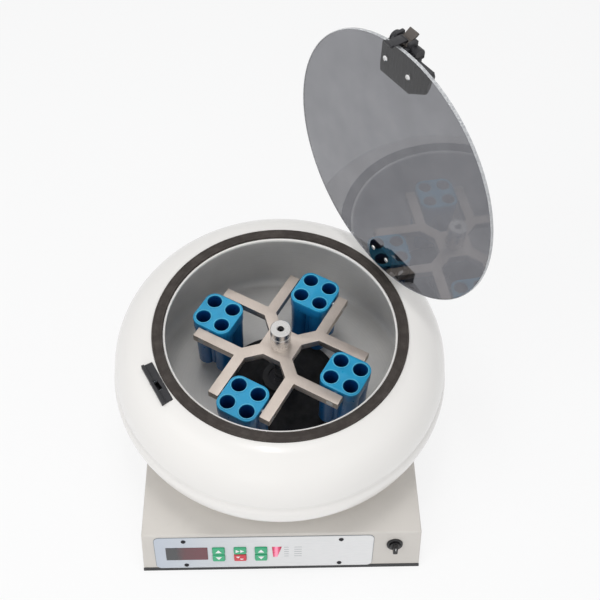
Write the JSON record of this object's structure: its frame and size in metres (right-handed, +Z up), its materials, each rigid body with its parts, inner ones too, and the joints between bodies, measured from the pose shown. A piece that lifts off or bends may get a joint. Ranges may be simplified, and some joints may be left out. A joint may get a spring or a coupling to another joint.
{
  "type": "butterfat centrifuge",
  "caption": "Bench centrifuge with a sloped-front cabinet, round housing, open bowl, spider rotor carrying swinging tube buckets, and a hinged clear lid with a latch.",
  "frame": {"origin": "rotor axis where it meets the bench, on the underside of the base tray", "axes": "+Z up along the rotor axis, +X to the user's right, +Y towards the back; the control panel faces -Y"},
  "size_m": [0.5851, 0.6007, 0.808],
  "materials": {
    "tray_black": "satin black",
    "cabinet_paint": "warm light-grey powder coat",
    "panel_silver": "silver-grey overlay",
    "screw_black": "black oxide",
    "window_dark": "dark red tinted",
    "display_black": "moulded",
    "led_red": "translucent",
    "board_green": "solder mask",
    "key_green": "moulded",
    "key_red": "moulded",
    "drive_alu": "cast",
    "steel": "zinc plated",
    "rubber_black": "matte",
    "motor_grey": "grey enamel",
    "copper": "varnished windings",
    "bright_steel": "ground",
    "core_steel": "laminated",
    "pedestal_iron": "cast",
    "bowl_grey": "grey satin",
    "shell_white": "glossy gel coat",
    "latch_black": "cast",
    "lever_brown": "moulded",
    "rotor_alu": "satin milled",
    "bucket_blue": "moulded",
    "lid_acrylic": "smoked clear"
  },
  "bodies": {
    "base": {"base_tray": "tray_black", "base_cabinet": "cabinet_paint", "control_panel": "panel_silver", "panel_screws": "screw_black", "display_window": "window_dark", "display_module": "display_black", "led_lens": "led_red", "control_board": "board_green", "key_switches": "display_black", "switch_body": "display_black", "drive_unit": "drive_alu", "mains_inlet": "display_black", "inlet_pins": "steel", "fuse_holder": "display_black", "motor_plate": "steel", "rubber_mounts": "rubber_black", "mount_studs": "steel", "motor_housing": "motor_grey", "motor_stator": "copper", "bearings": "bright_steel", "spindle_housing": "drive_alu", "bowl_pedestal": "pedestal_iron", "bowl": "bowl_grey", "bowl_wall": "bowl_grey", "bowl_bolts": "steel", "bowl_boot": "rubber_black", "casing_foot": "shell_white", "lower_casing": "shell_white", "casing_bolts": "steel", "upper_shell": "shell_white", "mouth_ring": "shell_white", "gasket": "rubber_black", "catch": "latch_black", "lid_switch": "display_black", "hinge_bracket": "latch_black", "hinge_bolts": "steel", "hinge_pin": "steel"},
    "lid": {"lid_disc": "lid_acrylic", "hinge_leaf": "latch_black", "lid_screws": "bright_steel", "latch_body": "latch_black", "latch_pin": "steel"},
    "latch": {"latch_lever": "lever_brown"},
    "rotor": {"spindle": "bright_steel", "armature": "core_steel", "rotor_hub": "bright_steel", "hub_screw": "steel", "rotor_plate": "rotor_alu", "trunnion_pins": "steel"},
    "switch_knob": {"switch_knob": "display_black"},
    "bucket_a": {"bucket_a": "bucket_blue"},
    "bucket_b": {"bucket_b": "bucket_blue"},
    "bucket_c": {"bucket_c": "bucket_blue"},
    "bucket_d": {"bucket_d": "bucket_blue"},
    "key_speed_up": {"key_speed_up": "key_green"},
    "key_speed_down": {"key_speed_down": "key_green"},
    "key_start": {"key_start": "key_green"},
    "key_stop": {"key_stop": "key_red"},
    "key_time_up": {"key_time_up": "key_green"},
    "key_time_down": {"key_time_down": "key_green"}
  },
  "joints": [
    {"name": "lid_hinge", "type": "hinge", "parent": "base", "child": "lid", "pos_m": [0.1867, 0.12736, 0.344], "axis": [0.5635, -0.8261, 0], "range_deg": [0, 90]},
    {"name": "latch_release", "type": "hinge", "parent": "lid", "child": "latch", "pos_m": [0.16745, 0.13783, 0.79], "axis": [0.5635, -0.8261, 0], "range_deg": [0, 8], "stiffness_Nm_per_rad": 0.6, "springref_deg": -8.59},
    {"name": "rotor_spin", "type": "hinge", "parent": "base", "child": "rotor", "pos_m": [0, 0, 0.257], "axis": [0, 0, 1], "continuous": true},
    {"name": "power_switch_turn", "type": "hinge", "parent": "base", "child": "switch_knob", "pos_m": [0.194, -0.28163, 0.06386], "axis": [0, -0.9676, 0.2526], "range_deg": [-90, 0]},
    {"name": "bucket_a_swing", "type": "hinge", "parent": "rotor", "child": "bucket_a", "pos_m": [-0.1089, 0.06338, 0.257], "axis": [0.503, 0.8643, 0], "range_deg": [-15, 90]},
    {"name": "bucket_b_swing", "type": "hinge", "parent": "rotor", "child": "bucket_b", "pos_m": [-0.06338, -0.1089, 0.257], "axis": [-0.8643, 0.503, 0], "range_deg": [-15, 90]},
    {"name": "bucket_c_swing", "type": "hinge", "parent": "rotor", "child": "bucket_c", "pos_m": [0.1089, -0.06338, 0.257], "axis": [-0.503, -0.8643, 0], "range_deg": [-15, 90]},
    {"name": "bucket_d_swing", "type": "hinge", "parent": "rotor", "child": "bucket_d", "pos_m": [0.06338, 0.1089, 0.257], "axis": [0.8643, -0.503, 0], "range_deg": [-15, 90]},
    {"name": "key_speed_up_press", "type": "slide", "parent": "base", "child": "key_speed_up", "axis": [0, 0.9676, -0.2526], "range_m": [0, 0.0012], "stiffness_N_per_m": 600, "springref_m": -0.0005},
    {"name": "key_speed_down_press", "type": "slide", "parent": "base", "child": "key_speed_down", "axis": [0, 0.9676, -0.2526], "range_m": [0, 0.0012], "stiffness_N_per_m": 600, "springref_m": -0.0005},
    {"name": "key_start_press", "type": "slide", "parent": "base", "child": "key_start", "axis": [0, 0.9676, -0.2526], "range_m": [0, 0.0012], "stiffness_N_per_m": 600, "springref_m": -0.0005},
    {"name": "key_stop_press", "type": "slide", "parent": "base", "child": "key_stop", "axis": [0, 0.9676, -0.2526], "range_m": [0, 0.0012], "stiffness_N_per_m": 600, "springref_m": -0.0005},
    {"name": "key_time_up_press", "type": "slide", "parent": "base", "child": "key_time_up", "axis": [0, 0.9676, -0.2526], "range_m": [0, 0.0012], "stiffness_N_per_m": 600, "springref_m": -0.0005},
    {"name": "key_time_down_press", "type": "slide", "parent": "base", "child": "key_time_down", "axis": [0, 0.9676, -0.2526], "range_m": [0, 0.0012], "stiffness_N_per_m": 600, "springref_m": -0.0005}
  ]
}
